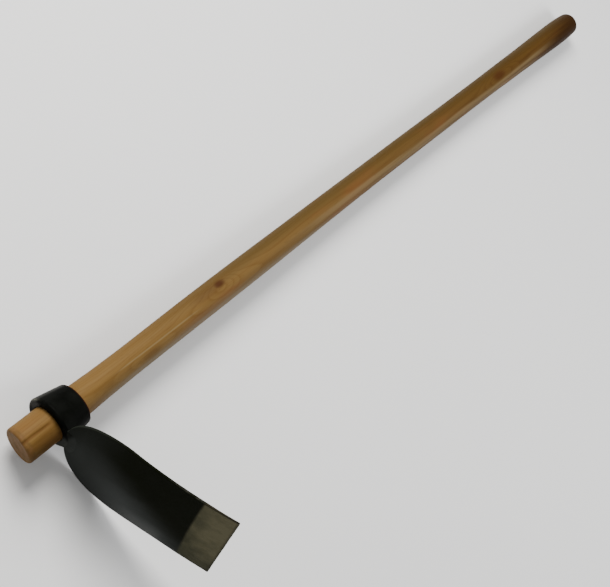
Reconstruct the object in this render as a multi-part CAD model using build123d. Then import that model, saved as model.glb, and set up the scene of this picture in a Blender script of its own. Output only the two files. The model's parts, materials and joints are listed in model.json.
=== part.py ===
from build123d import *
import math
import os

# Grub hoe: a turned wooden handle and a steel head that slips over it from the grip end.
# The head is a tapered eye collar with a wide blade welded under its front rim.
#
# Every piece is first made in the tool frame, in millimetres:
#   X runs along the handle, from the sawn head end (X = 0) to the grip end
#   -Y is the way the blade reaches out from the handle
#   Z is the width of the blade
# lay_down() then turns the whole tool into its resting pose on the ground, with +Z up.

# handle
HANDLE_LENGTH = 1200.0
STUB_LENGTH = 40.5
STUB_RADIUS = 21.6
STUB_ROUND = 2.0
WAIST_X = 860.0
WAIST_RADIUS = 16.45
SWELL_X = 1114.0
SWELL_RADIUS = 19.0
DOME_LENGTH = 8.0
DOME_RADIUS = 17.9

# eye collar, whose bore and the handle's seat have the same taper
EYE_LENGTH = 38.5
SEAT_REAR_RADIUS = 19.6
EYE_CLEARANCE = 0.05
COLLAR_FRONT_RADIUS = 32.0
COLLAR_REAR_RADIUS = 25.0
FRONT_RIM_ROUND = 3.6
REAR_RIM_ROUND = 1.5
BORE_MOUTH_CHAMFER = 1.2

# blade: a plate slightly curved towards the user, with broad round shoulders and waisted sides;
# a drop is a distance below the handle's axis
BLADE_THICKNESS = 3.0
NECK_X = 42.8
NECK_DROP = 31.0
EDGE_X = 79.3
EDGE_DROP = 225.0
BLADE_SAGITTA = 3.5
SHOULDER_TOP_DROP = 24.0
SHOULDER_DROP = 98.0
SHOULDER_WIDTH = 144.6
SHOULDER_SQUARENESS = 2.3
SIDE_WAIST_DROP = 165.0
SIDE_WAIST_WIDTH = 137.8
EDGE_WIDTH = 142.6
CORNER_ROUND = 1.5
BEVEL_LENGTH = 38.9
EDGE_THICKNESS = 0.8

# weld beads, laid in the corners between the collar and the two faces of the blade
WELD_HALF_ANGLE = 35.0
FRONT_BEAD_RADIUS = 2.6
REAR_BEAD_RADIUS = 4.0

# resting pose, in degrees: rolled about the handle until the collar and a shoulder both touch the
# ground, then tilted until the swelling of the grip touches it too
REST_ROLL = 26.7
REST_TILT = 0.61

EYE_FRONT_X = STUB_LENGTH
EYE_REAR_X = STUB_LENGTH + EYE_LENGTH


def turned(*edges):
    """One solid of revolution about the handle's axis, from the edges of its half section."""
    section = make_face(Curve() + list(edges))
    return revolve(section, axis=Axis.X, revolution_arc=360)


def handle():
    """Turned ash handle: stub, tapered seat, slim shank, swelling grip and a domed end."""
    dome_x = HANDLE_LENGTH - DOME_LENGTH
    face_rim = (0, STUB_RADIUS - STUB_ROUND)
    stub_start = (STUB_ROUND, STUB_RADIUS)
    stub_end = (EYE_FRONT_X, STUB_RADIUS)
    seat_end = (EYE_REAR_X, SEAT_REAR_RADIUS)
    seat_slope = (EYE_LENGTH, SEAT_REAR_RADIUS - STUB_RADIUS)
    waist = (WAIST_X, WAIST_RADIUS)
    swell = (SWELL_X, SWELL_RADIUS)
    dome_start = (dome_x, DOME_RADIUS)
    tip = (HANDLE_LENGTH, 0)
    shank_tangents = [seat_slope, (1, 0)]
    return turned(
        Line((0, 0), face_rim),
        RadiusArc(face_rim, stub_start, STUB_ROUND),
        Line(stub_start, stub_end),
        Line(stub_end, seat_end),
        Spline(seat_end, (240, 18.2), (550, 17.0), waist, tangents=shank_tangents),
        Spline(waist, swell, dome_start, tangents=[(1, 0), (12, -1)]),
        Spline(dome_start, tip, tangents=[(12, -1), (0, -1)]),
        Line(tip, (0, 0)),
    )


def collar_body():
    """The eye collar without its bore: a short cone with a well rounded front rim."""
    body = turned(
        Line((EYE_FRONT_X, 0), (EYE_FRONT_X, COLLAR_FRONT_RADIUS)),
        Line((EYE_FRONT_X, COLLAR_FRONT_RADIUS), (EYE_REAR_X, COLLAR_REAR_RADIUS)),
        Line((EYE_REAR_X, COLLAR_REAR_RADIUS), (EYE_REAR_X, 0)),
        Line((EYE_REAR_X, 0), (EYE_FRONT_X, 0)),
    )
    rims = body.edges().filter_by(GeomType.CIRCLE).sort_by(Axis.X)
    body = fillet(rims[0], FRONT_RIM_ROUND)
    rims = body.edges().filter_by(GeomType.CIRCLE).sort_by(Axis.X)
    return fillet(rims[-1], REAR_RIM_ROUND)


def eye_collar():
    """The tapered ring that the handle passes through."""
    front_r = STUB_RADIUS + EYE_CLEARANCE
    rear_r = SEAT_REAR_RADIUS + EYE_CLEARANCE
    bore = turned(
        Line((EYE_FRONT_X, 0), (EYE_FRONT_X, front_r)),
        Line((EYE_FRONT_X, front_r), (EYE_REAR_X, rear_r)),
        Line((EYE_REAR_X, rear_r), (EYE_REAR_X, 0)),
        Line((EYE_REAR_X, 0), (EYE_FRONT_X, 0)),
    )
    ring = collar_body() - bore
    mouths = ring.edges().filter_by(GeomType.CIRCLE).sort_by(SortBy.RADIUS)
    mouths = [m for m in mouths if m.radius < front_r + 0.01]
    return chamfer(mouths, BORE_MOUTH_CHAMFER)


def blade_arc():
    """Centre and radius of the arc that the blade's outer face follows, seen along Z."""
    neck = Vector(NECK_X, -NECK_DROP)
    edge = Vector(EDGE_X, -EDGE_DROP)
    chord = edge - neck
    radius = chord.length**2 / (8 * BLADE_SAGITTA) + BLADE_SAGITTA / 2
    towards_user = Vector(-chord.Y, chord.X).normalized()
    centre = (neck + edge) / 2 + towards_user * (radius - BLADE_SAGITTA)
    return centre, radius


def blade_plate():
    """The curved plate before its outline is cut, sharpened on both faces."""
    centre, outer_r = blade_arc()
    inner_r = outer_r - BLADE_THICKNESS
    middle_r = outer_r - BLADE_THICKNESS / 2

    def on_arc(radius, drop):
        """The point of a concentric arc that lies this far below the handle's axis."""
        rise = -drop - centre.Y
        return (centre.X - math.sqrt(radius**2 - rise**2), -drop)

    edge_outer = on_arc(middle_r + EDGE_THICKNESS / 2, EDGE_DROP)
    edge_inner = on_arc(middle_r - EDGE_THICKNESS / 2, EDGE_DROP)
    bevel_drop = EDGE_DROP - BEVEL_LENGTH * math.cos(math.atan2(EDGE_X - NECK_X, EDGE_DROP - NECK_DROP))
    bevel_outer = on_arc(outer_r, bevel_drop)
    bevel_inner = on_arc(inner_r, bevel_drop)
    middle_drop = bevel_drop / 2
    section = make_face(
        Curve()
        + [
            ThreePointArc(on_arc(outer_r, 0), on_arc(outer_r, middle_drop), bevel_outer),
            Line(bevel_outer, edge_outer),
            Line(edge_outer, edge_inner),
            Line(edge_inner, bevel_inner),
            ThreePointArc(bevel_inner, on_arc(inner_r, middle_drop), on_arc(inner_r, 0)),
            Line(on_arc(inner_r, 0), on_arc(outer_r, 0)),
        ]
    )
    return extrude(section, amount=EDGE_WIDTH, both=True)


def shoulder_point(turn):
    """A point of the shoulders' superellipse, from one side (0 degrees) over the top to the other (180)."""
    power = 2 / SHOULDER_SQUARENESS
    across = math.cos(math.radians(turn))
    up = math.sin(math.radians(turn))
    rise = (SHOULDER_DROP - SHOULDER_TOP_DROP) * up**power
    half_width = SHOULDER_WIDTH / 2 * abs(across) ** power
    return (rise - SHOULDER_DROP, math.copysign(half_width, across))


def blade_outline():
    """A prism along X with the blade's outline: round shoulders, waisted sides and a straight edge."""
    left_shoulder = (-SHOULDER_DROP, SHOULDER_WIDTH / 2)
    right_shoulder = (-SHOULDER_DROP, -SHOULDER_WIDTH / 2)
    left_waist = (-SIDE_WAIST_DROP, SIDE_WAIST_WIDTH / 2)
    right_waist = (-SIDE_WAIST_DROP, -SIDE_WAIST_WIDTH / 2)
    left_corner = (-EDGE_DROP, EDGE_WIDTH / 2)
    right_corner = (-EDGE_DROP, -EDGE_WIDTH / 2)
    crown = [shoulder_point(turn) for turn in range(15, 180, 15)]
    outline = Curve() + [
        Spline(left_shoulder, *crown, right_shoulder, tangents=[(1, 0), (-1, 0)]),
        ThreePointArc(right_shoulder, right_waist, right_corner),
        Line(right_corner, left_corner),
        ThreePointArc(left_corner, left_waist, left_shoulder),
    ]
    face = make_face(outline)
    corners = face.vertices().sort_by(Axis.X)[:2]
    face = fillet(corners, CORNER_ROUND)
    return extrude(Plane.YZ * face, amount=EDGE_X * 2)


def blade():
    """The curved plate in its outline, cut away where the collar sits on it."""
    plate = blade_plate() & blade_outline()
    return plate - collar_body()


def weld_bead(x, radius, bead_radius):
    """A rod of weld metal bent round the collar, under its blade side."""
    start = Plane((x, 0, 0), x_dir=(0, -1, 0), z_dir=(0, 0, 1))
    disc = start * Pos(radius, 0) * Circle(bead_radius)
    turned_back = disc.rotate(Axis.X, -WELD_HALF_ANGLE)
    return revolve(turned_back, axis=Axis.X, revolution_arc=2 * WELD_HALF_ANGLE)


def front_weld():
    """The bead on the outer face, in the groove under the collar's rounded rim."""
    bead = weld_bead(NECK_X - 0.2, COLLAR_FRONT_RADIUS + 0.6, FRONT_BEAD_RADIUS)
    return bead - collar_body() - blade()


def rear_weld():
    """The thicker bead in the corner between the collar and the blade's inner face."""
    bead = weld_bead(NECK_X + BLADE_THICKNESS + 2.0, COLLAR_FRONT_RADIUS + 0.2, REAR_BEAD_RADIUS)
    return bead - collar_body() - blade()


def lay_down(pieces):
    """Turn the pieces into the resting pose, with the origin under the middle of their box."""
    rest = Rot(0, REST_TILT, 0) * Rot(-REST_ROLL, 0, 0)
    turned_pieces = {name: rest * piece for name, piece in pieces.items()}
    box = Compound(list(turned_pieces.values())).bounding_box()
    middle = box.center()
    to_origin = Pos(-middle.X, -middle.Y, -box.min.Z)
    return {name: to_origin * piece for name, piece in turned_pieces.items()}, to_origin * rest


def main():
    os.makedirs("parts", exist_ok=True)
    pieces = {
        "handle": handle(),
        "eye_collar": eye_collar(),
        "blade": blade(),
        "front_weld": front_weld(),
        "rear_weld": rear_weld(),
    }
    placed, placement = lay_down(pieces)
    for name, piece in placed.items():
        export_step(piece, f"parts/{name}.step")
    print("tool frame origin in the row frame, mm:", placement.position)
    print("tool frame angles in the row frame, degrees:", placement.orientation)


main()
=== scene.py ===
import json
import math

import bmesh
import bpy
import numpy as np
from mathutils import Matrix, Quaternion, Vector, noise


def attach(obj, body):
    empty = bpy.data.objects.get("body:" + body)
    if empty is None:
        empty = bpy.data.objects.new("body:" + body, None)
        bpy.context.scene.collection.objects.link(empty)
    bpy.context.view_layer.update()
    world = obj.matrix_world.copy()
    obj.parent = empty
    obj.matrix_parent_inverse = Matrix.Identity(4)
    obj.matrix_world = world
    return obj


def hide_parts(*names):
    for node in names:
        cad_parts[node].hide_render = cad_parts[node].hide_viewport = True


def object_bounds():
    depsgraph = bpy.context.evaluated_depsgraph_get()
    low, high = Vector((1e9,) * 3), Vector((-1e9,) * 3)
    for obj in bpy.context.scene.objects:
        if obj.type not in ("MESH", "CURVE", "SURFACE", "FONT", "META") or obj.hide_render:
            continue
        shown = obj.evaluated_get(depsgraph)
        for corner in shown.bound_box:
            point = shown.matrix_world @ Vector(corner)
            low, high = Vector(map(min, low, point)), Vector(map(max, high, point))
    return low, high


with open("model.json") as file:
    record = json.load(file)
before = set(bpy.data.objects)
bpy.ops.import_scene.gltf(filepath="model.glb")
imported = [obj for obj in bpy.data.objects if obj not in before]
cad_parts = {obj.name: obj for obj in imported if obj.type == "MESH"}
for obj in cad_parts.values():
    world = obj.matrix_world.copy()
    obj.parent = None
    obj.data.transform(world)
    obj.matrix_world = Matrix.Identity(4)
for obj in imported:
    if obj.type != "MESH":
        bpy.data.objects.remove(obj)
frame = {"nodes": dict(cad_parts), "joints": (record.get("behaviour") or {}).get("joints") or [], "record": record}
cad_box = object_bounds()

# Every piece is made in the tool frame, in metres, and then turned into the resting pose:
#   X runs along the handle, from the sawn head end (X = 0) to the grip end
#   -Y is the way the blade reaches out from the handle
#   Z is the width of the blade
MM = 0.001
REST_ROLL = math.radians(-26.7)

# eye collar
COLLAR_FRONT_RADIUS = 32.0 * MM
COLLAR_REAR_RADIUS = 25.0 * MM
BORE_FRONT_RADIUS = 21.65 * MM
BORE_REAR_RADIUS = 19.65 * MM
FRONT_RIM_ROUND = 3.6 * MM
REAR_RIM_ROUND = 1.5 * MM
BORE_MOUTH_CHAMFER = 1.2 * MM

# blade
BLADE_THICKNESS = 3.0 * MM
NECK_X = 42.8 * MM
NECK_DROP = 31.0 * MM
EDGE_X = 79.3 * MM
EDGE_DROP = 225.0 * MM
BLADE_SAGITTA = 3.5 * MM
SHOULDER_TOP_DROP = 24.0 * MM
SHOULDER_DROP = 98.0 * MM
SHOULDER_HALF = 72.3 * MM
SHOULDER_SQUARENESS = 2.3
SIDE_WAIST_DROP = 165.0 * MM
SIDE_WAIST_HALF = 68.9 * MM
EDGE_HALF = 71.3 * MM
CORNER_ROUND = 1.5 * MM
BARE_DROP = 186.8 * MM
EDGE_THICKNESS = 0.8 * MM

# handle
STUB_WEAR_ROUND = 3.0 * MM
SAW_SLOPE = (0.085, -0.075)
SAW_OFFSET = -0.6 * MM
SAW_BLEND = 25.0 * MM
DOME_LENGTH = 8.0 * MM
DOME_SQUARENESS = 1.9
BOW = 2.5 * MM
BOW_END = 1090.0 * MM
CHECK_ANGLE = math.radians(-17)
CHECK_DEPTH = 1.1 * MM
UNDERSIZE = 0.03 * MM
END_FACE_RINGS = (0.25, 0.5, 0.75, 0.93)

# welds
FRONT_WELD_HALF_ANGLE = math.radians(38)
FRONT_WELD_INNER = 28.6 * MM
FRONT_WELD_OUTER = 41.0 * MM
FRONT_WELD_DEPTH = 2.4 * MM
REAR_WELD_HALF_ANGLE = math.radians(36)
REAR_WELD_RADIUS = 4.1 * MM

# wood grain
CHECK_DIRT_RADIUS = 21.0 * MM
SHANK_RADIUS = 17.5 * MM
HALF_THICKNESS = 18.0 * MM
PITH = (0, 0.052, -0.07)
RING_SPACING = 2.7 * MM

# how finely the pieces are divided
HANDLE_SIDES = 160
COLLAR_SIDES = 192

FLOOR_RADIUS = 9.0


# ---------------------------------------------------------------- the tool frame

def tool_matrix():
    """Takes the tool frame to the row frame, from the record's head end mount and slide axis."""
    mounts = {mount["name"]: mount for mount in frame["record"]["mounts"]}
    origin = Vector(mounts["head_end_face"]["pos_m"])
    axis = Vector(frame["joints"][0]["axis"])
    tilt = Vector((1, 0, 0)).rotation_difference(axis).to_matrix().to_4x4()
    return Matrix.Translation(origin) @ tilt @ Matrix.Rotation(REST_ROLL, 4, "X")


TOOL = tool_matrix()


def cad_points(node):
    """A CAD node's vertices in the tool frame, as an array."""
    inverse = TOOL.inverted()
    return np.array([inverse @ vertex.co for vertex in frame["nodes"][node].data.vertices])


def smoothstep(low, high, value):
    """0 up to low, 1 from high on, and a smooth rise between."""
    share = min(max((value - low) / (high - low), 0.0), 1.0)
    return share * share * (3 - 2 * share)


# ---------------------------------------------------------------- meshes

def finish_piece(name, points, faces, node, body, material):
    """Turns the points into the resting pose, makes the object and ties it to its CAD node and body."""
    mesh = bpy.data.meshes.new(name)
    mesh.from_pydata([TOOL @ Vector(point) for point in points], [], faces)
    mesh.polygons.foreach_set("use_smooth", [True] * len(mesh.polygons))
    mesh.materials.append(material)
    mesh.update()
    piece = bpy.data.objects.new(name, mesh)
    bpy.context.scene.collection.objects.link(piece)
    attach(piece, body)
    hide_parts(node)
    return piece


def tube_faces(ring_count, sides, first=0):
    """Quads between rings that each have the same number of points."""
    faces = []
    for ring in range(ring_count - 1):
        for side in range(sides):
            a = first + ring * sides + side
            b = first + ring * sides + (side + 1) % sides
            faces.append((a, b, b + sides, a + sides))
    return faces


def fan_faces(centre, first, sides, flipped):
    """Triangles from a centre point to a ring."""
    faces = []
    for side in range(sides):
        a = first + side
        b = first + (side + 1) % sides
        faces.append((centre, b, a) if flipped else (centre, a, b))
    return faces


# ---------------------------------------------------------------- handle

def handle_stations(length):
    """Distances along the handle: close together at its rounded ends, 4 mm apart between."""
    front = [STUB_WEAR_ROUND * (1 - math.cos(math.radians(step * 9))) for step in range(11)]
    stub = [STUB_WEAR_ROUND + step * 1.25 * MM for step in range(1, 32)]
    dome = [length - DOME_LENGTH * (1 - math.sin(math.radians(step * 4))) for step in range(23)]
    shank = np.linspace(stub[-1], dome[0], 290)[1:-1]
    return front + stub + list(shank) + dome


def handle_radius(x, length, cad_x, cad_radii):
    """The turned profile: the CAD handle's, with a worn sawn end and a low dome on the grip."""
    if x < STUB_WEAR_ROUND:
        rounding = math.sqrt(STUB_WEAR_ROUND**2 - (STUB_WEAR_ROUND - x) ** 2)
        return cad_radii.max() - STUB_WEAR_ROUND + rounding
    dome_start = length - DOME_LENGTH
    radius = float(np.interp(min(x, dome_start), cad_x, cad_radii))
    into_dome = max(0.0, x - dome_start) / DOME_LENGTH
    return radius * (1 - into_dome**DOME_SQUARENESS) ** (1 / DOME_SQUARENESS)


def handle_bow(x, seat_end):
    """How far the handle's middle stands away from a straight line, towards +Y."""
    share = max(0.0, (x - seat_end) / (BOW_END - seat_end))
    return BOW * math.sin(math.pi * share)


def check_groove(x, angle):
    """Depth of the drying check that runs from the sawn end towards the collar."""
    middle = CHECK_ANGLE + 0.02 * math.sin(x / (6 * MM))
    offset = (angle - middle + math.pi) % (2 * math.pi) - math.pi
    wall = math.radians(5.5) if offset > 0 else math.radians(19)
    along = 1 - smoothstep(30 * MM, 40 * MM, x)
    return CHECK_DEPTH * along * max(0.0, 1 - abs(offset) / wall)


def handle_surface(x, angle, radius, seat):
    """Distance from the axis, with the slight unevenness of a hand-finished turning."""
    around = Vector((x * 7, math.sin(angle) * 1.6, math.cos(angle) * 1.6))
    facets = noise.noise(around) * 0.32 * MM
    close_around = Vector((x * 60, math.sin(angle) * 4, math.cos(angle) * 4))
    chatter = noise.noise(close_around) * 0.06 * MM
    free = smoothstep(seat[1], seat[1] + 30 * MM, x)
    stub = 1 - smoothstep(seat[0] - 6 * MM, seat[0], x)
    return radius + facets * free + chatter * max(free, stub) - UNDERSIZE - check_groove(x, angle)


def saw_shift(x, y, z):
    """Shift along X that leaves the sawn end a little out of square."""
    return (SAW_OFFSET + SAW_SLOPE[0] * y + SAW_SLOPE[1] * z) * max(0.0, 1 - x / SAW_BLEND)


def build_handle(material):
    """Turned handle with a worn end, a drying check, a low bow and a domed grip end."""
    cad = cad_points("handle")
    length = cad[:, 0].max()
    collar = cad_points("eye_collar")
    seat = (collar[:, 0].min(), collar[:, 0].max())
    order = np.argsort(cad[:, 0])
    cad_x = cad[order, 0]
    cad_radii = np.hypot(cad[order, 1], cad[order, 2])
    points = []
    for share in END_FACE_RINGS:
        points += end_face_ring(share * (cad_radii.max() - STUB_WEAR_ROUND))
    stations = handle_stations(length)
    for x in stations:
        radius = handle_radius(x, length, cad_x, cad_radii)
        bow = handle_bow(x, seat[1])
        for side in range(HANDLE_SIDES):
            angle = 2 * math.pi * side / HANDLE_SIDES
            surface = handle_surface(x, angle, radius, seat)
            y = surface * math.sin(angle) + bow
            z = surface * math.cos(angle)
            points.append((x + saw_shift(x, y, z), y, z))
    ring_count = len(stations) + len(END_FACE_RINGS)
    faces = tube_faces(ring_count, HANDLE_SIDES)
    points.append((0.0, 0.0, 0.0))
    faces += fan_faces(len(points) - 1, 0, HANDLE_SIDES, flipped=True)
    points.append((length, handle_bow(length, seat[1]), 0.0))
    faces += fan_faces(len(points) - 1, (ring_count - 1) * HANDLE_SIDES, HANDLE_SIDES, flipped=False)
    return finish_piece("turned_handle", points, faces, "handle", "handle", material)


def end_face_ring(radius):
    """A ring of the sawn end face, a little uneven from the saw."""
    ring = []
    for side in range(HANDLE_SIDES):
        angle = 2 * math.pi * side / HANDLE_SIDES
        y = radius * math.sin(angle)
        z = radius * math.cos(angle)
        depth = 0.1 * MM * (1 + noise.noise(Vector((y * 120, z * 120, 0))))
        ring.append((depth + saw_shift(0, y, z), y, z))
    return ring


# ---------------------------------------------------------------- eye collar

def arc_points(centre, radius, start, end, steps):
    """Points of an arc in the half section, as (x, distance from the axis)."""
    angles = np.radians(np.linspace(start, end, steps))
    return [(centre[0] + radius * math.cos(a), centre[1] + radius * math.sin(a)) for a in angles]


def collar_section(front, rear):
    """The ring's closed half section: rounded front rim, cone, rear rim and tapered bore."""
    slope = (COLLAR_FRONT_RADIUS - COLLAR_REAR_RADIUS) / (rear - front)
    lean = math.degrees(math.atan(slope))

    def cone(x):
        return COLLAR_FRONT_RADIUS - (x - front) * slope

    # the rim's round touches the front plane and the cone
    leaning = math.cos(math.radians(lean))
    rim = FRONT_RIM_ROUND
    rim_centre = (front + rim, cone(front + rim) - rim / leaning)
    rear_round = REAR_RIM_ROUND
    rear_centre = (rear - rear_round, cone(rear - rear_round) - rear_round / leaning)
    chamfer = BORE_MOUTH_CHAMFER
    section = arc_points(rim_centre, rim, 180, 90 - lean, 12)
    start = section[-1]
    end = arc_points(rear_centre, rear_round, 90 - lean, 0, 6)
    cone_x = np.linspace(start[0], end[0][0], 22)[1:-1]
    cone_r = np.linspace(start[1], end[0][1], 22)[1:-1]
    section += list(zip(cone_x, cone_r))
    section += end
    section += [(rear, BORE_REAR_RADIUS + chamfer + 0.4 * MM), (rear, BORE_REAR_RADIUS + chamfer)]
    section += [(rear - chamfer * 0.3, BORE_REAR_RADIUS + chamfer * 0.45)]
    bore = np.linspace(0, 1, 10)
    bore_x = rear - chamfer + (front - rear + 2 * chamfer) * bore
    bore_r = BORE_REAR_RADIUS + (BORE_FRONT_RADIUS - BORE_REAR_RADIUS) * bore
    section += list(zip(bore_x, bore_r))
    section += [(front + chamfer * 0.3, BORE_FRONT_RADIUS + chamfer * 0.45)]
    face = np.linspace(BORE_FRONT_RADIUS + chamfer, rim_centre[1], 6)[:-1]
    section += [(front, radius) for radius in face]
    return section


def collar_unevenness(x, angle, front, rear):
    """How far the forged outer surface stands off its cone."""
    around = Vector((x * 30, math.sin(angle) * 1.7, math.cos(angle) * 1.7))
    dents = noise.fractal(around, 1.0, 2.0, 3) * 0.28 * MM
    towards_blade = max(0.0, -math.sin(angle))
    swelling = smoothstep(0.72, 1.0, towards_blade) * (1 - smoothstep(front + 4 * MM, rear - 6 * MM, x))
    return dents + 1.6 * MM * swelling


def build_collar(material):
    """The forged eye ring, thickened where the blade is welded on."""
    cad = cad_points("eye_collar")
    front = cad[:, 0].min()
    rear = cad[:, 0].max()
    section = collar_section(front, rear)
    wall_inside = BORE_FRONT_RADIUS + BORE_MOUTH_CHAMFER * 1.5
    points = []
    for x, radius in section:
        outside = smoothstep(wall_inside, wall_inside + 4 * MM, radius + (x - front) * 0.19)
        for side in range(COLLAR_SIDES):
            angle = 2 * math.pi * side / COLLAR_SIDES
            surface = radius + outside * collar_unevenness(x, angle, front, rear)
            points.append((x, surface * math.sin(angle), surface * math.cos(angle)))
    faces = tube_faces(len(section), COLLAR_SIDES)
    last = (len(section) - 1) * COLLAR_SIDES
    for side in range(COLLAR_SIDES):
        following = (side + 1) % COLLAR_SIDES
        faces.append((last + side, last + following, following, side))
    return finish_piece("forged_collar", points, faces, "eye_collar", "head", material)


# ---------------------------------------------------------------- blade

def blade_arc():
    """Centre and radius of the arc that the blade's outer face follows, seen along Z."""
    neck = Vector((NECK_X, -NECK_DROP))
    edge = Vector((EDGE_X, -EDGE_DROP))
    chord = edge - neck
    radius = chord.length**2 / (8 * BLADE_SAGITTA) + BLADE_SAGITTA / 2
    towards_user = Vector((-chord.y, chord.x)).normalized()
    return (neck + edge) / 2 + towards_user * (radius - BLADE_SAGITTA), radius


def side_half(drop):
    """Half the blade's width below its shoulders, on the arc through shoulder, waist and corner."""
    points = ((SHOULDER_DROP, SHOULDER_HALF), (SIDE_WAIST_DROP, SIDE_WAIST_HALF), (EDGE_DROP, EDGE_HALF))
    return float(np.polyval(np.polyfit(*zip(*points), 2), drop))


def outline_points():
    """The blade's edge from neck to cutting edge on one side, as (drop, half width)."""
    power = 2 / SHOULDER_SQUARENESS
    points = [(22.5 * MM, 19.3 * MM)]
    for angle in np.radians(np.linspace(77.2, 0, 46)):
        drop = SHOULDER_DROP - (SHOULDER_DROP - SHOULDER_TOP_DROP) * math.sin(angle) ** power
        points.append((drop, SHOULDER_HALF * math.cos(angle) ** power))
    drops = list(np.linspace(SHOULDER_DROP, BARE_DROP, 38)[1:])
    drops += list(np.linspace(BARE_DROP, EDGE_DROP, 20)[1:-1])
    drops += [EDGE_DROP - above for above in (1.3 * MM, 0.6 * MM, 0.25 * MM, 0.0)]
    for drop in drops:
        points.append((drop, side_half(drop)))
    return points


def across_shares():
    """Places across the blade from -1 to 1, close together at its two edges."""
    from_edge = [0.0, 0.0015, 0.005, 0.011, 0.02, 0.035]
    half = from_edge + list(np.linspace(0.035, 1.0, 26)[1:])
    left = [-1 + share for share in half]
    return left + [-share for share in reversed(left[:-1])]


def half_thickness(drop, edge_distance):
    """Half the plate's thickness: ground down towards the cutting edge and rounded at the sides."""
    bevel = min(max((drop - BARE_DROP) / (EDGE_DROP - BARE_DROP), 0.0), 1.0)
    half = BLADE_THICKNESS / 2 + (EDGE_THICKNESS - BLADE_THICKNESS) / 2 * bevel
    rounding = min(half, 1.1 * MM)
    inward = min(edge_distance / rounding, 1.0)
    return half * (1 - (1 - inward) ** 2.6) ** (1 / 2.6)


def blade_point(drop, z, side, centre, arc_radius, edge_distance):
    """A point of the outer (side 1) or inner (side -1) face."""
    middle = arc_radius - BLADE_THICKNESS / 2
    rise = -drop - centre.y
    x = centre.x - math.sqrt(middle**2 - rise**2)
    normal = Vector((x - centre.x, rise)).normalized()
    hammered = noise.fractal(Vector((drop * 28, z * 28, 4.0)), 1.0, 2.0, 3) * 0.25 * MM
    offset = side * half_thickness(drop, edge_distance) + hammered
    return (x + normal.x * offset, -drop + normal.y * offset, z)


def build_blade(material):
    """Curved, round-topped plate with worn edges, ground on both faces along its cutting edge."""
    centre, arc_radius = blade_arc()
    outline = outline_points()
    shares = across_shares()
    neck_drop = outline[0][0]
    points = []
    for side in (1, -1):
        for drop, half in outline:
            dip = 7.0 * MM * math.exp(-(drop - neck_drop) / (14 * MM))
            for share in shares:
                z = share * half
                here = drop + dip * (1 - share * share)
                side_distance = (1 - abs(share)) * half
                if drop > EDGE_DROP - 1.4 * MM:
                    rounding = max(0.0, CORNER_ROUND - side_distance)
                    here -= CORNER_ROUND - math.sqrt(max(0.0, CORNER_ROUND**2 - rounding**2))
                    here -= 0.25 * MM * (1 + noise.noise(Vector((z * 90, 0, 7))))
                distance = min(side_distance, EDGE_DROP - drop)
                points.append(blade_point(here, z, side, centre, arc_radius, distance))
    rows = len(outline)
    columns = len(shares)
    faces = []
    for face_index in range(2):
        first = face_index * rows * columns
        for row in range(rows - 1):
            for column in range(columns - 1):
                a = first + row * columns + column
                quad = (a, a + columns, a + columns + 1, a + 1)
                faces.append(quad if face_index == 0 else quad[::-1])
    faces += [(a, a + 1, a + 1 + rows * columns, a + rows * columns) for a in range(columns - 1)]
    piece = finish_piece("ground_blade", points, faces, "blade", "head", material)
    weld_close_points(piece.data)
    return piece


def weld_close_points(mesh):
    """Joins points that lie together, as along the blade's edges, and turns all the faces outwards."""
    work = bmesh.new()
    work.from_mesh(mesh)
    bmesh.ops.remove_doubles(work, verts=work.verts, dist=0.01 * MM)
    bmesh.ops.recalc_face_normals(work, faces=work.faces)
    work.to_mesh(mesh)
    work.free()


# ---------------------------------------------------------------- welds

def outer_face_x(drop):
    """Where the blade's outer face lies at this drop."""
    centre, arc_radius = blade_arc()
    return centre.x - math.sqrt(arc_radius**2 - (-drop - centre.y) ** 2)


def build_front_weld(material):
    """The weld dressed to a smooth fillet, from the collar's front face to the blade's outer face."""
    front = cad_points("eye_collar")[:, 0].min()
    inner = FRONT_WELD_INNER
    along = 90
    around = 22
    points = []
    for step in range(along + 1):
        share = step / along * 2 - 1
        angle = FRONT_WELD_HALF_ANGLE * share
        ends = smoothstep(0.72, 1.0, abs(share))
        reach = inner + (FRONT_WELD_OUTER - inner) * (1 - 0.55 * ends)
        for turn in range(around + 1):
            u = turn / around
            r = inner + (reach - inner) * u
            sunk = 0.3 * MM * abs(2 * u - 1) ** 8 + 1.6 * MM * ends
            wave = 0.12 * MM * math.sin(math.pi * u) * noise.noise(Vector((angle * 9, u * 2, 3)))
            to_blade = outer_face_x(r * math.cos(angle)) - front
            x = front + to_blade * smoothstep(0, 1, u) + sunk + wave
            points.append((x, -r * math.cos(angle), r * math.sin(angle)))
        for turn in range(around + 1):
            r = reach + (inner - reach) * turn / around
            x = front + FRONT_WELD_DEPTH + 0.1 * (r - inner)
            points.append((x, -r * math.cos(angle), r * math.sin(angle)))
    sides = 2 * (around + 1)
    faces = tube_faces(along + 1, sides)
    faces += [tuple(range(sides))[::-1], tuple(range(along * sides, (along + 1) * sides))]
    piece = finish_piece("front_bead", points, faces, "front_weld", "head", material)
    weld_close_points(piece.data)
    return piece


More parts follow.
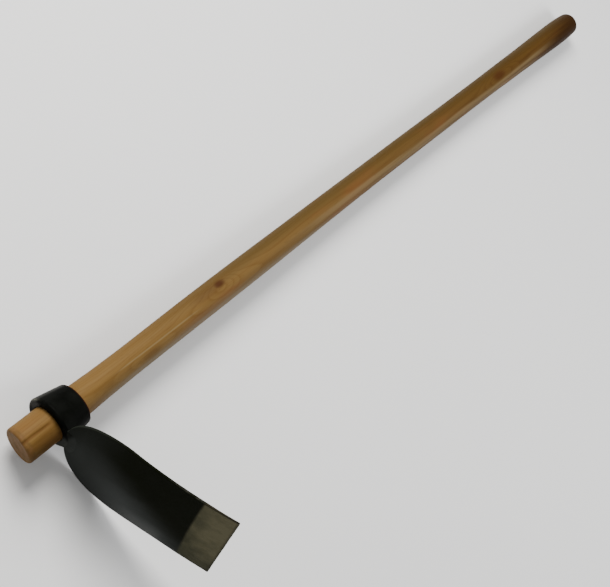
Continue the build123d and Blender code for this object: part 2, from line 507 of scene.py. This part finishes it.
def build_rear_weld(material):
    """A rippled bead in the corner between the collar and the blade's inner face, thinner at its ends."""
    centre_x = NECK_X + BLADE_THICKNESS + 2.0 * MM
    centre_radius = COLLAR_FRONT_RADIUS + 0.2 * MM
    along = 220
    around = 30
    points = []
    for step in range(along + 1):
        share = step / along * 2 - 1
        angle = REAR_WELD_HALF_ANGLE * share
        taper = math.sqrt(max(0.0, 1 - abs(share) ** 6)) * 0.97 + 0.03
        crest = abs(math.sin(step * 0.24 + 0.3 * noise.noise(Vector((step * 0.09, 1, 2)))))
        ripple = 0.94 + 0.09 * crest + 0.06 * noise.noise(Vector((step * 0.05, 3, 5)))
        radius = REAR_WELD_RADIUS * taper * ripple
        for turn in range(around):
            bend = 2 * math.pi * turn / around
            r = centre_radius + radius * math.cos(bend)
            x = centre_x + radius * math.sin(bend)
            points.append((x, -r * math.cos(angle), r * math.sin(angle)))
    faces = tube_faces(along + 1, around)
    faces += [tuple(range(around))[::-1], tuple(range(along * around, (along + 1) * around))]
    return finish_piece("rear_bead", points, faces, "rear_weld", "head", material)


# ---------------------------------------------------------------- materials

class Graph:
    """A material's node tree, built by short calls that each return an output socket."""

    def __init__(self, name):
        self.material = bpy.data.materials.new(name)
        self.material.use_nodes = True
        self.tree = self.material.node_tree
        self.tree.nodes.clear()
        self.place = self.tool_place()

    def add(self, kind, inputs=(), **settings):
        node = self.tree.nodes.new(kind)
        for name, value in settings.items():
            setattr(node, name, value)
        for key, value in dict(inputs).items():
            if isinstance(value, bpy.types.NodeSocket):
                self.tree.links.new(value, node.inputs[key])
            else:
                node.inputs[key].default_value = value
        return node

    def tool_place(self):
        """The surface point in the tool frame."""
        inverse = TOOL.inverted()
        own = self.add("ShaderNodeTexCoord").outputs["Object"]
        turn = {"Vector": own, "Location": inverse.translation, "Rotation": inverse.to_euler()}
        return self.add("ShaderNodeMapping", turn).outputs[0]

    def calc(self, operation, first, second=0.0):
        return self.add("ShaderNodeMath", {0: first, 1: second}, operation=operation).outputs[0]

    def vector(self, operation, first, second):
        return self.add("ShaderNodeVectorMath", {0: first, 1: second}, operation=operation).outputs[0]

    def length(self, vector):
        return self.add("ShaderNodeVectorMath", {0: vector}, operation="LENGTH").outputs["Value"]

    def dot(self, vector, direction):
        inputs = {0: vector, 1: direction}
        return self.add("ShaderNodeVectorMath", inputs, operation="DOT_PRODUCT").outputs["Value"]

    def parts(self, vector):
        return self.add("ShaderNodeSeparateXYZ", {0: vector}).outputs

    def fade(self, value, low, high, start=0.0, end=1.0):
        inputs = {"Value": value, 1: low, 2: high, 3: start, 4: end}
        return self.add("ShaderNodeMapRange", inputs, interpolation_type="SMOOTHSTEP").outputs[0]

    def noise(self, stretch, detail=4.0, roughness=0.55, distortion=0.0, shift=0.0):
        """Noise whose grains are 1/stretch metres along each axis."""
        place = self.vector("MULTIPLY", self.place, stretch)
        place = self.vector("ADD", place, (shift, shift, shift))
        inputs = {"Vector": place, "Scale": 1.0, "Detail": detail, "Roughness": roughness}
        inputs["Distortion"] = distortion
        return self.add("ShaderNodeTexNoise", inputs).outputs[0]

    def mix(self, share, first, second, blend="MIX"):
        node = self.tree.nodes.new("ShaderNodeMix")
        node.data_type = "RGBA"
        node.blend_type = blend
        for key, value in ((0, share), (6, first), (7, second)):
            if isinstance(value, bpy.types.NodeSocket):
                self.tree.links.new(value, node.inputs[key])
            else:
                node.inputs[key].default_value = value if key == 0 else (*value, 1.0)
        return node.outputs[2]

    def ramp(self, value, stops):
        """Colours between (place, colour) stops."""
        node = self.add("ShaderNodeValToRGB", {0: value})
        elements = node.color_ramp.elements
        while len(elements) < len(stops):
            elements.new(1.0)
        for element, (place, colour) in zip(elements, stops):
            element.position = place
            element.color = (*colour, 1.0)
        return node.outputs[0]

    def bump(self, height, distance, strength=1.0, under=None):
        inputs = {"Height": height, "Distance": distance, "Strength": strength}
        if under is not None:
            inputs["Normal"] = under
        return self.add("ShaderNodeBump", inputs).outputs[0]

    def finish(self, **inputs):
        named = {key.replace("_", " "): value for key, value in inputs.items()}
        shader = self.add("ShaderNodeBsdfPrincipled", named)
        self.add("ShaderNodeOutputMaterial", {"Surface": shader.outputs[0]})
        return self.material


def knot_distance(g, x, degrees, long, wide):
    """Distance from a knot on the handle's surface, 1 at the rim of an ellipse along the grain."""
    angle = math.radians(degrees)
    centre = (x, SHANK_RADIUS * math.sin(angle), SHANK_RADIUS * math.cos(angle))
    offset = g.vector("SUBTRACT", g.place, centre)
    return g.length(g.vector("MULTIPLY", offset, (1 / long, 1 / wide, 1 / wide)))


KNOTS = [  # distance along the handle, degrees round it, half length, half width, depth of colour
    (0.310, 9, 8.5 * MM, 4.8 * MM, 1.0),
    (0.290, 5, 26.0 * MM, 6.5 * MM, 0.32),
    (0.953, -13, 15.0 * MM, 6.5 * MM, 0.85),
    (0.183, -49, 15.0 * MM, 5.0 * MM, 0.28),
    (0.640, 160, 8.0 * MM, 4.5 * MM, 0.8),
    (0.420, -150, 6.0 * MM, 4.0 * MM, 0.7),
]


def wood_material():
    """Oiled turned wood: long growth rings, pores, a few knots, browner and dirtier at the grip, with painted
    shade and light.
    """
    g = Graph("oiled_wood")
    x = g.parts(g.place)[0]
    # growth rings round a pith well outside the handle, bent slowly along it and round the knots
    from_pith = g.length(g.vector("MULTIPLY", g.vector("SUBTRACT", g.place, PITH), (0, 1, 1)))
    slow_bend = g.noise((3.2, 24, 24), detail=2.0)
    ring = g.calc("ADD", from_pith, g.calc("MULTIPLY", slow_bend, 9 * MM))
    colour_of_knots = 0.0
    for along, degrees, long, wide, depth in KNOTS:
        distance = knot_distance(g, along, degrees, long, wide)
        pull = g.fade(distance, 0.4, 4.5, 1.0, 0.0)
        ring = g.calc("ADD", ring, g.calc("MULTIPLY", pull, 6 * MM))
        core = g.fade(distance, 0.35, 1.5, depth, 0.0)
        colour_of_knots = g.calc("MAXIMUM", core, colour_of_knots)
    phase = g.calc("FRACT", g.calc("DIVIDE", ring, RING_SPACING))
    late_wood = g.ramp(phase, [(0.0, (0.2,) * 3), (0.55, (0.35,) * 3),
                               (0.9, (1.0,) * 3), (1.0, (0.25,) * 3)])
    fibres = g.noise((22, 1300, 1300), detail=3.0)
    streaks = g.noise((5, 160, 160), detail=3.0, shift=7.0)
    patches = g.noise((9, 38, 38), detail=2.0, shift=3.0)
    # colour: warm tan near the head, browner towards the grip
    pale = g.ramp(x, [(0.0, (0.172, 0.099, 0.029)), (0.35, (0.138, 0.082, 0.026)),
                      (0.75, (0.092, 0.051, 0.0145)), (1.0, (0.076, 0.039, 0.009))])
    dark = g.ramp(x, [(0.0, (0.115, 0.057, 0.013)), (0.35, (0.088, 0.043, 0.010)),
                      (0.75, (0.055, 0.0255, 0.0055)), (1.0, (0.044, 0.0175, 0.003))])
    grain = g.calc("MULTIPLY", late_wood, 0.42)
    grain = g.calc("ADD", grain, g.fade(fibres, 0.42, 0.75, 0.0, 0.22))
    grain = g.calc("ADD", grain, g.fade(streaks, 0.4, 0.7, 0.0, 0.3))
    colour = g.mix(grain, pale, dark)
    colour = g.mix(g.fade(patches, 0.50, 0.73, 0.0, 0.42), colour, (0.14, 0.053, 0.017))
    # across runs from -1 to 1 over the handle: painted shade darkens both sides of its middle, a pale
    # grey along the lower rim is painted rim light, and a paler band along the grip half is a painted highlight
    across = g.calc("DIVIDE", g.dot(g.place, (0, -0.97, -0.245)), HALF_THICKNESS)
    wavy = g.calc("ADD", across, g.calc("MULTIPLY", g.calc("SUBTRACT", streaks, 0.5), 0.5))
    painted_shade_below = g.calc("MULTIPLY", g.fade(wavy, -0.1, 0.55), g.fade(x, 0.05, 0.50, 0.22, 0.0))
    above = g.calc("MULTIPLY", g.fade(wavy, 0.1, -0.8), g.fade(x, 0.08, 0.42, 0.0, 0.62))
    colour = g.mix(g.calc("MAXIMUM", painted_shade_below, above), colour, (0.040, 0.024, 0.003))
    # painted rim light: a pale grey along the lower rim, from near the collar to the middle of the handle
    painted_rim_light = g.calc("MULTIPLY", g.fade(wavy, 0.45, 0.95), g.fade(x, 0.05, 0.16))
    painted_rim_light = g.calc("MULTIPLY", painted_rim_light, g.fade(x, 0.62, 0.45))
    colour = g.mix(g.calc("MULTIPLY", painted_rim_light, 0.7), colour, (0.175, 0.140, 0.092))
    # painted highlight: a paler band along the grip half, a little below the middle of the handle
    strip_place = g.calc("SUBTRACT", wavy, g.fade(x, 0.45, 0.80, 0.0, 0.27))
    strip = g.calc("MULTIPLY", g.fade(strip_place, -0.05, 0.25), g.fade(strip_place, 0.62, 0.34))
    strip = g.calc("MULTIPLY", strip, g.calc("MULTIPLY", g.fade(x, 0.38, 0.58), g.fade(x, 1.14, 1.05)))
    colour = g.mix(g.calc("MULTIPLY", strip, 0.58), colour, (0.175, 0.125, 0.060))
    colour = g.mix(colour_of_knots, colour, (0.047, 0.0165, 0.004))
    # one pale line of grain stands out between the collar and the large knot
    line_place = g.calc("ADD", across, g.calc("MULTIPLY", g.calc("SUBTRACT", slow_bend, 0.5), 0.12))
    off_line = g.calc("ABSOLUTE", g.calc("SUBTRACT", line_place, 0.14))
    line = g.calc("MULTIPLY", g.fade(off_line, 0.075, 0.01), g.fade(x, 0.120, 0.155))
    line = g.calc("MULTIPLY", line, g.fade(x, 0.280, 0.235))
    colour = g.mix(g.calc("MULTIPLY", line, 0.42), colour, (0.215, 0.165, 0.085))
    # pores are short dark dashes
    pores = g.fade(g.noise((90, 2600, 2600), detail=1.0, shift=2.0), 0.66, 0.78, 0.0, 0.5)
    colour = g.mix(pores, colour, (0.04, 0.018, 0.005))
    # the sawn end takes dirt and is pinkish at its rim
    at_end = g.fade(x, 1 * MM, 8 * MM)
    spots = g.noise((120, 120, 120), detail=3.0, shift=5.0)
    end_grain = g.ramp(spots, [(0.25, (0.072, 0.044, 0.013)), (0.5, (0.118, 0.062, 0.020)),
                               (0.75, (0.150, 0.075, 0.036))])
    colour = g.mix(g.fade(at_end, 1.0, 0.0, 0.0, 0.8), colour, end_grain)
    # and dirt has settled in its drying check
    check_y = CHECK_DIRT_RADIUS * math.sin(CHECK_ANGLE)
    check_line = (0, check_y, CHECK_DIRT_RADIUS * math.cos(CHECK_ANGLE))
    off_check = g.length(g.vector("SUBTRACT", g.vector("MULTIPLY", g.place, (0, 1, 1)), check_line))
    in_check = g.calc("MULTIPLY", g.fade(off_check, 2.8 * MM, 0.6 * MM), g.fade(x, 40 * MM, 30 * MM))
    colour = g.mix(g.calc("MULTIPLY", in_check, 0.5), colour, (0.090, 0.034, 0.007))
    # the hand's dirt on the grip's end, with painted shade making it darkest underneath
    grip_dirt_and_shade = g.fade(g.calc("ADD", x, g.calc("MULTIPLY", wavy, 0.060)), 1.06, 1.20, 0.0, 0.88)
    colour = g.mix(grip_dirt_and_shade, colour, (0.020, 0.007, 0.001))
    roughness = g.fade(fibres, 0.3, 0.7, 0.45, 0.6)
    relief = g.calc("ADD", g.calc("MULTIPLY", fibres, 0.6), g.calc("MULTIPLY", late_wood, 0.4))
    normal = g.bump(g.calc("SUBTRACT", relief, pores), 0.12 * MM, 0.6)
    return g.finish(Base_Color=colour, Roughness=roughness, Normal=normal, Specular_IOR_Level=0.05)


def paint_layers(g, tone, scuff_tone):
    """Colour, roughness and height of old satin black paint on forged steel."""
    blotches = g.noise((45, 45, 45), detail=4.0, shift=1.0)
    grit = g.noise((900, 900, 900), detail=2.0)
    scale = g.noise((160, 160, 160), detail=5.0, roughness=0.65, shift=4.0)
    colour = g.mix(g.fade(blotches, 0.35, 0.75), tone, scuff_tone)
    roughness = g.fade(blotches, 0.3, 0.7, 0.36, 0.52)
    height = g.calc("ADD", g.calc("MULTIPLY", scale, 0.75), g.calc("MULTIPLY", grit, 0.12))
    return colour, roughness, height


def collar_material():
    """Black paint, rubbed through on the front rim; rust and a painted reflection of the wood where the rear edge
    meets it.
    """
    g = Graph("collar_paint")
    x, y, z = g.parts(g.place)[:3]
    radius = g.length(g.vector("MULTIPLY", g.place, (0, 1, 1)))
    colour, roughness, height = paint_layers(g, (0.0018, 0.0020, 0.0015), (0.0042, 0.0046, 0.0038))
    # a pale band along one side is painted sheen; a paler patch on the front face under the handle is painted
    # light
    painted_sheen_side = g.calc("DIVIDE", g.dot(g.place, (0, 0.91, 0.42)), radius)
    colour = g.mix(g.fade(painted_sheen_side, 0.90, 1.0, 0.0, 0.85), colour, (0.040, 0.040, 0.038))
    # painted light: a paler patch on the lower front face, where the handle's end shades it
    painted_light_front = g.calc("MULTIPLY", g.fade(y, -0.008, -0.022), g.fade(x, 0.049, 0.043))
    painted_light_front = g.calc("MULTIPLY", painted_light_front, g.fade(z, 0.009, -0.001))
    colour = g.mix(painted_light_front, colour, (0.043, 0.046, 0.041))
    scratches = g.noise((420, 420, 420), detail=4.0, roughness=0.7, shift=9.0)
    on_rim = g.calc("MULTIPLY", g.fade(radius, 0.0295, 0.0313), g.fade(x, 0.0445, 0.0415))
    upper = g.fade(g.calc("SUBTRACT", y, g.calc("MULTIPLY", z, 0.35)), 0.005, 0.027)
    worn = g.calc("MULTIPLY", on_rim, g.fade(scratches, 0.36, 0.62))
    worn = g.calc("MULTIPLY", worn, upper)
    colour = g.mix(worn, colour, (0.155, 0.150, 0.112))
    # a reddish-brown line along the rear edge is rust and a painted reflection of the wood beside it
    rust_and_reflection = g.calc("MULTIPLY", g.fade(x, 0.0768, 0.0785), g.fade(scratches, 0.25, 0.5))
    colour = g.mix(g.calc("MULTIPLY", rust_and_reflection, 0.8), colour, (0.03, 0.007, 0.004))
    roughness = g.calc("ADD", roughness, g.calc("MULTIPLY", rust_and_reflection, 0.3))
    normal = g.bump(height, 0.35 * MM, 0.5)
    metal = g.calc("MULTIPLY", worn, 0.6)
    shine = {"Metallic": metal, "Specular_IOR_Level": 0.012}
    return g.finish(Base_Color=colour, Roughness=roughness, Normal=normal, **shine)


def weld_material():
    """The same black paint over weld metal, grey like the blade's painted sheen beside it, darker towards the
    collar's rim as painted shade.
    """
    g = Graph("weld_paint")
    y, z = g.parts(g.place)[1:3]
    # the grey of this paint is painted sheen, matching the blade beside the weld
    colour, roughness, height = paint_layers(g, (0.031, 0.034, 0.031), (0.040, 0.043, 0.039))
    # painted shade: darker towards the collar's rim
    shade_towards_rim = g.calc("ADD", z, g.calc("MULTIPLY", g.calc("ADD", y, 0.030), 2.0))
    colour = g.mix(g.fade(shade_towards_rim, 0.003, 0.018), colour, (0.0110, 0.0120, 0.0096))
    normal = g.bump(height, 0.4 * MM, 0.6)
    return g.finish(Base_Color=colour, Roughness=roughness, Normal=normal, Specular_IOR_Level=0.006)


def blade_material():
    """Satin black paint, paler with painted sheen towards one side, down to a soft straight border, then dull
    ground steel.
    """
    g = Graph("blade_paint_and_ground_steel")
    y, z = g.parts(g.place)[1:3]
    drop = g.calc("MULTIPLY", y, -1.0)
    colour, roughness, height = paint_layers(g, (0.0042, 0.0050, 0.0020), (0.0062, 0.0070, 0.0036))
    colour = g.mix(g.fade(drop, 0.105, 0.050), colour, (0.0125, 0.0140, 0.0110))
    # painted sheen: the paint is paler on the side nearer the floor, in a wedge that narrows towards the cutting
    # edge
    patches = g.noise((38, 14, 38), detail=3.0, shift=11.0)
    sheen_border_wobble = g.calc("MULTIPLY", g.calc("SUBTRACT", patches, 0.5), 0.024)
    wedge = g.calc("ADD", z, g.calc("MULTIPLY", g.calc("SUBTRACT", drop, 0.1), 0.635))
    neck_wedge = g.calc("ADD", z, g.calc("MULTIPLY", g.calc("SUBTRACT", 0.020, drop), 1.3))
    towards_side = g.calc("ADD", g.calc("MAXIMUM", wedge, neck_wedge), sheen_border_wobble)
    painted_sheen = g.calc("MULTIPLY", g.fade(towards_side, 0.034, -0.052), g.fade(drop, 0.045, 0.120, 0.45, 1.0))
    colour = g.mix(painted_sheen, colour, (0.056, 0.060, 0.058))
    off_weld = g.length(g.vector("SUBTRACT", g.place, (0.043, -0.036, -0.008)))
    colour = g.mix(g.fade(off_weld, 0.026, 0.006, 0.0, 0.55), colour, (0.040, 0.044, 0.040))
    # painted sheen: a paler spot on the same side, part way down towards the cutting edge
    sheen_spot = g.calc("MULTIPLY", g.fade(z, -0.036, -0.066), g.fade(drop, 0.095, 0.130))
    sheen_spot = g.calc("MULTIPLY", sheen_spot, g.fade(drop, 0.170, 0.150))
    colour = g.mix(g.calc("MULTIPLY", sheen_spot, 0.6), colour, (0.105, 0.108, 0.104))
    # worn paint along both sides of the plate
    ragged = g.noise((300, 300, 300), detail=4.0, roughness=0.7, shift=5.0)
    half = g.fade(drop, SHOULDER_DROP, SIDE_WAIST_DROP, SHOULDER_HALF, SIDE_WAIST_HALF)
    side = g.calc("SUBTRACT", g.calc("ABSOLUTE", z), half)
    off_side = g.calc("MULTIPLY", g.fade(side, -0.9 * MM, -0.2 * MM), g.fade(drop, 0.12, 0.18))
    chipped = g.calc("MULTIPLY", off_side, g.fade(ragged, 0.30, 0.7, 0.0, 0.35))
    colour = g.mix(chipped, colour, (0.07, 0.066, 0.055))
    # the ground band, whose border bows up a little in the middle
    wander = g.calc("MULTIPLY", g.noise((0, 0, 70), detail=2.0), 1.2 * MM)
    bow = g.calc("MULTIPLY", g.calc("MULTIPLY", z, z), -0.3)
    border = g.calc("ADD", g.calc("ADD", drop, wander), bow)
    bare = g.fade(border, BARE_DROP - 3.4 * MM, BARE_DROP + 0.6 * MM)
    mottle = g.noise((60, 60, 60), detail=3.0, roughness=0.5, shift=6.0)
    grinding = g.noise((500, 26, 1500), detail=3.0, shift=8.0)
    tone = g.calc("ADD", g.fade(z, -0.055, 0.015, 0.0, 0.45), g.fade(drop, 0.188, 0.208, -0.1, 0.4))
    tone = g.calc("ADD", tone, g.fade(mottle, 0.3, 0.7, -0.15, 0.35))
    steel = g.mix(tone, (0.040, 0.0395, 0.021), (0.100, 0.091, 0.052))
    steel = g.mix(g.fade(grinding, 0.4, 0.7, 0.0, 0.12), steel, (0.036, 0.032, 0.018))
    steel = g.mix(g.fade(z, -0.030, -0.068, 0.0, 0.6), steel, (0.027, 0.029, 0.018))
    steel = g.mix(g.fade(side, -1.6 * MM, -0.3 * MM, 0.0, 0.85), steel, (0.014, 0.012, 0.008))
    at_edge = g.fade(drop, EDGE_DROP - 4.0 * MM, EDGE_DROP - 0.8 * MM, 0.0, 0.6)
    steel = g.mix(at_edge, steel, (0.020, 0.019, 0.012))
    colour = g.mix(bare, colour, steel)
    bare_roughness = g.fade(grinding, 0.3, 0.7, 0.38, 0.56)
    rougher = g.calc("SUBTRACT", bare_roughness, roughness)
    roughness = g.calc("ADD", roughness, g.calc("MULTIPLY", bare, rougher))
    metal = g.calc("MULTIPLY", g.calc("MAXIMUM", bare, chipped), 0.13)
    painted_height = g.calc("MULTIPLY", height, g.calc("SUBTRACT", 1.0, bare))
    marks = g.calc("MULTIPLY", g.calc("MULTIPLY", grinding, bare), 0.25)
    normal = g.bump(g.calc("ADD", painted_height, marks), 0.3 * MM, 0.45)
    shine = {"Metallic": metal, "Specular_IOR_Level": 0.004}
    return g.finish(Base_Color=colour, Roughness=roughness, Normal=normal, **shine)


def floor_material():
    """Plain pale matt floor."""
    g = Graph("pale_floor")
    tone = g.mix(g.noise((3, 3, 3), detail=2.0), (0.80, 0.80, 0.80), (0.83, 0.83, 0.825))
    return g.finish(Base_Color=tone, Roughness=0.9, Specular_IOR_Level=0.1)


# ---------------------------------------------------------------- stage, light and camera

def build_floor():
    """A large pale disc under the tool."""
    height = cad_box[0][2] - 0.2 * MM
    turns = np.linspace(0, 2 * math.pi, 97)[:-1]
    points = [(FLOOR_RADIUS * math.cos(a), FLOOR_RADIUS * math.sin(a), height) for a in turns]
    mesh = bpy.data.meshes.new("floor")
    mesh.from_pydata(points, [], [tuple(range(len(points)))])
    mesh.materials.append(floor_material())
    floor = bpy.data.objects.new("floor", mesh)
    bpy.context.scene.collection.objects.link(floor)


def add_area_light(name, position, target, size, power, colour):
    """A round soft lamp that points at a target."""
    light = bpy.data.lights.new(name, "AREA")
    light.shape = "DISK"
    light.size = size
    light.energy = power
    light.color = colour
    lamp = bpy.data.objects.new(name, light)
    bpy.context.scene.collection.objects.link(lamp)
    lamp.location = position
    aim = Vector(target) - Vector(position)
    lamp.rotation_mode = "QUATERNION"
    lamp.rotation_quaternion = aim.to_track_quat("-Z", "Y")


def build_lights():
    """A lamp on the handle's side lights the head, one on the blade's side the grip, in a pale surround."""
    middle = (cad_box[0] + cad_box[1]) / 2
    head = middle + Vector((-0.5, 0.1, 0))
    grip = middle + Vector((0.5, 0.1, 0))
    add_area_light("head_lamp", middle + Vector((0.0, 1.6, 1.4)), head, 1.1, 75, (1.0, 0.985, 0.96))
    add_area_light("grip_lamp", middle + Vector((0.7, -1.3, 1.5)), grip, 1.1, 30, (0.98, 0.99, 1.0))
    world = bpy.data.worlds.new("surround")
    world.use_nodes = True
    background = world.node_tree.nodes["Background"]
    background.inputs["Color"].default_value = (1.0, 1.0, 1.0, 1.0)
    background.inputs["Strength"].default_value = 0.5
    bpy.context.scene.world = world


CAMERA_AZIMUTH = math.radians(-108.32)
CAMERA_ELEVATION = math.radians(52.09)
CAMERA_ROLL = math.radians(73.23)
CAMERA_DISTANCE = 1.3640
CAMERA_AIM = Vector((0.4003, -0.0696, 0.0))
CAMERA_LENS = 64.56


def build_camera():
    """Looks down from beyond the head, turned so that the handle runs up to the right."""
    back = Vector((
        math.sin(CAMERA_AZIMUTH) * math.cos(CAMERA_ELEVATION),
        -math.cos(CAMERA_AZIMUTH) * math.cos(CAMERA_ELEVATION),
        math.sin(CAMERA_ELEVATION),
    ))
    data = bpy.data.cameras.new("camera")
    data.sensor_width = 36
    data.lens = CAMERA_LENS
    data.dof.use_dof = False
    camera = bpy.data.objects.new("camera", data)
    bpy.context.scene.collection.objects.link(camera)
    camera.rotation_mode = "QUATERNION"
    camera.rotation_quaternion = back.to_track_quat("Z", "Y") @ Quaternion((0, 0, 1), CAMERA_ROLL)
    camera.location = TOOL @ CAMERA_AIM + back * CAMERA_DISTANCE
    bpy.context.scene.camera = camera


# ---------------------------------------------------------------- the scene

build_handle(wood_material())
build_collar(collar_material())
build_blade(blade_material())
weld_paint = weld_material()
build_front_weld(weld_paint)
build_rear_weld(weld_paint)
build_floor()
build_lights()
build_camera()
